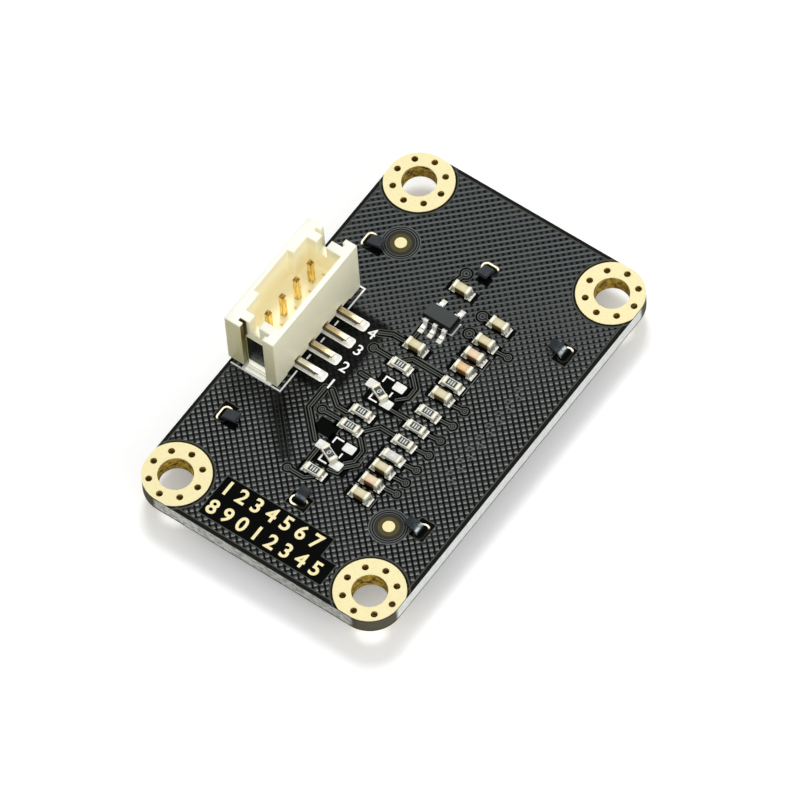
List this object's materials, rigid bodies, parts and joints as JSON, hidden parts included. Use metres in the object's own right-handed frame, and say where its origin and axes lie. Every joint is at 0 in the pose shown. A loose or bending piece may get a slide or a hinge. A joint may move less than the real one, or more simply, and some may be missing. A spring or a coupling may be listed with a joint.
{
  "type": "small oled display module",
  "caption": "Slim circuit board with plated corner holes, an upright cable header, a regulator and chip parts, and a small glass display held under it by a folded metal bezel.",
  "frame": {"origin": "centre of the mounting hole pattern on the board's component face", "axes": "+X across the board away from the header, +Y along the board, +Z out of the component face, the way the header points"},
  "size_m": [0.0259, 0.0408, 0.0104],
  "materials": {
    "solder_mask": "semi-gloss solder mask",
    "gold_plating": "bright plating",
    "pin_metal": "drawn wire",
    "tin": "tin plate",
    "solder": "reflowed solder",
    "white_print": "printed ink",
    "black_sheet": "satin black coating",
    "clear_glass": "polished",
    "dark_film": "gloss film",
    "silicon": "polished die",
    "flex_film": "satin film",
    "foam": "foam",
    "ivory_nylon": "moulded",
    "mould_compound": "moulded",
    "capacitor_ceramic": "fired",
    "resistor_ceramic": "fired"
  },
  "bodies": {
    "root": {"circuit_board": "solder_mask", "slot_plating": "gold_plating", "alignment_marks": "gold_plating", "printed_lines": "white_print", "display_bezel": "black_sheet", "front_glass": "clear_glass", "rear_glass": "clear_glass", "polariser": "dark_film", "driver_chip": "silicon", "flex_tail": "flex_film", "flex_lands": "gold_plating", "foam_pad": "foam", "header_housing": "ivory_nylon", "header_lands": "solder", "regulator_body": "mould_compound", "regulator_leads": "tin", "regulator_lands": "solder", "capacitor_ends": "tin", "resistor_ends": "tin", "solder_joints": "solder", "jumper_lands": "solder", "mounting_ring_1": "gold_plating", "header_pin_1": "pin_metal", "mounting_ring_2": "gold_plating", "header_pin_2": "pin_metal", "mounting_ring_3": "gold_plating", "header_pin_3": "pin_metal", "mounting_ring_4": "gold_plating", "header_pin_4": "pin_metal", "hold_down_tab_1": "tin", "jumper_resistor_1": "resistor_ceramic", "hold_down_tab_2": "tin", "jumper_resistor_2": "resistor_ceramic", "capacitor_1": "capacitor_ceramic", "capacitor_2": "capacitor_ceramic", "capacitor_3": "capacitor_ceramic", "capacitor_4": "capacitor_ceramic", "capacitor_5": "capacitor_ceramic", "capacitor_6": "capacitor_ceramic", "capacitor_7": "capacitor_ceramic", "capacitor_8": "capacitor_ceramic", "capacitor_9": "capacitor_ceramic", "capacitor_10": "capacitor_ceramic", "resistor_1": "resistor_ceramic", "resistor_2": "resistor_ceramic", "resistor_3": "resistor_ceramic", "resistor_4": "resistor_ceramic", "resistor_5": "resistor_ceramic", "resistor_6": "resistor_ceramic", "resistor_7": "resistor_ceramic", "resistor_8": "resistor_ceramic", "resistor_9": "resistor_ceramic"}
  },
  "joints": []
}
